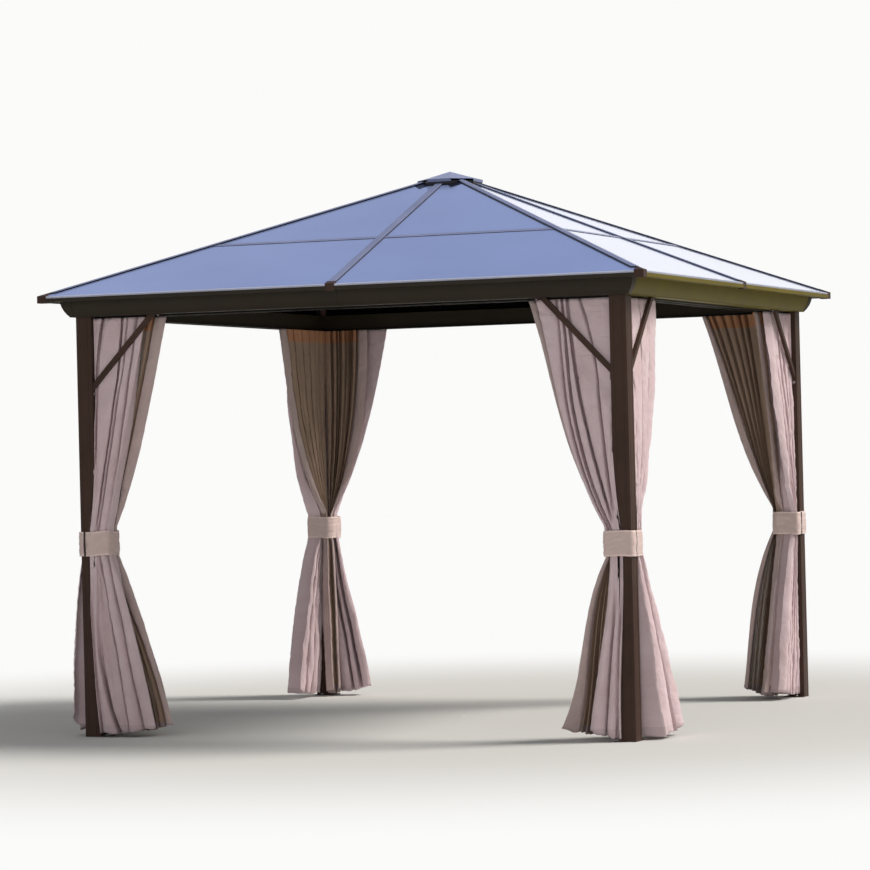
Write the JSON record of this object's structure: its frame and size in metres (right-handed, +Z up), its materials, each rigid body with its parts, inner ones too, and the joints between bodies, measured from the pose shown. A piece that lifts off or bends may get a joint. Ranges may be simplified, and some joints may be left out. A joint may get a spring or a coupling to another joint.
{
  "type": "metal gazebo",
  "caption": "Square open garden gazebo with a shallow pitched panel roof and raised crown cap on dark box posts, with a tied-back curtain and net at either side of every post.",
  "frame": {"origin": "on the ground at the centre of the four posts, under the roof's peak", "axes": "+Z up; the front faces -Y and +X is to the right when looking at the front"},
  "size_m": [2.98, 2.98, 2.6621],
  "materials": {
    "frame_coat": "dark bronze-brown satin powder coat on extruded aluminium",
    "header_coat": "dark bronze-brown satin powder coat on a curved extruded cornice",
    "rib_coat": "grey-brown satin powder coat, with fine lines along the top",
    "roof_panel": "smooth glossy twin-wall roofing sheet that mirrors the sky",
    "dark_trim": "near-black matt trim",
    "pale_trim": "pale edge strip",
    "crown_coat": "smooth glossy coat that mirrors the sky",
    "track_metal": "dark anodised curtain rail",
    "curtain_cloth": "mauve-taupe polyester curtain cloth with long soft folds",
    "net_cloth": "brown see-through insect net with a hemmed border",
    "band_cloth": "beige-taupe tie band, stitched along its edges"
  },
  "bodies": {
    "root": {"post_front_left": "frame_coat", "post_front_right": "frame_coat", "post_back_right": "frame_coat", "post_back_left": "frame_coat", "post_feet": "frame_coat", "header_front": "header_coat", "header_right": "header_coat", "header_back": "header_coat", "header_left": "header_coat", "cornice_corner_covers": "header_coat", "eave_bar_front": "header_coat", "eave_bar_right": "header_coat", "eave_bar_back": "header_coat", "eave_bar_left": "header_coat", "hip_rib_front_left": "rib_coat", "hip_rib_front_right": "rib_coat", "hip_rib_back_right": "rib_coat", "hip_rib_back_left": "rib_coat", "mid_rib_front": "rib_coat", "mid_rib_right": "rib_coat", "mid_rib_back": "rib_coat", "mid_rib_left": "rib_coat", "rib_end_caps": "frame_coat", "rib_brackets": "frame_coat", "roof_panels_front": "roof_panel", "roof_panels_right": "roof_panel", "roof_panels_back": "roof_panel", "roof_panels_left": "roof_panel", "panel_joint_strips": "dark_trim", "panel_edge_trims": "pale_trim", "crown_hub": "dark_trim", "crown_flashing": "dark_trim", "crown_cap": "crown_coat", "knee_braces_front_left": "frame_coat", "knee_braces_front_right": "frame_coat", "knee_braces_back_right": "frame_coat", "knee_braces_back_left": "frame_coat", "curtain_tracks": "track_metal", "curtains_front_left": "curtain_cloth", "curtains_front_right": "curtain_cloth", "curtains_back_right": "curtain_cloth", "curtains_back_left": "curtain_cloth", "nets_front_left": "net_cloth", "nets_front_right": "net_cloth", "nets_back_right": "net_cloth", "nets_back_left": "net_cloth", "tie_bands": "band_cloth"}
  },
  "joints": []
}
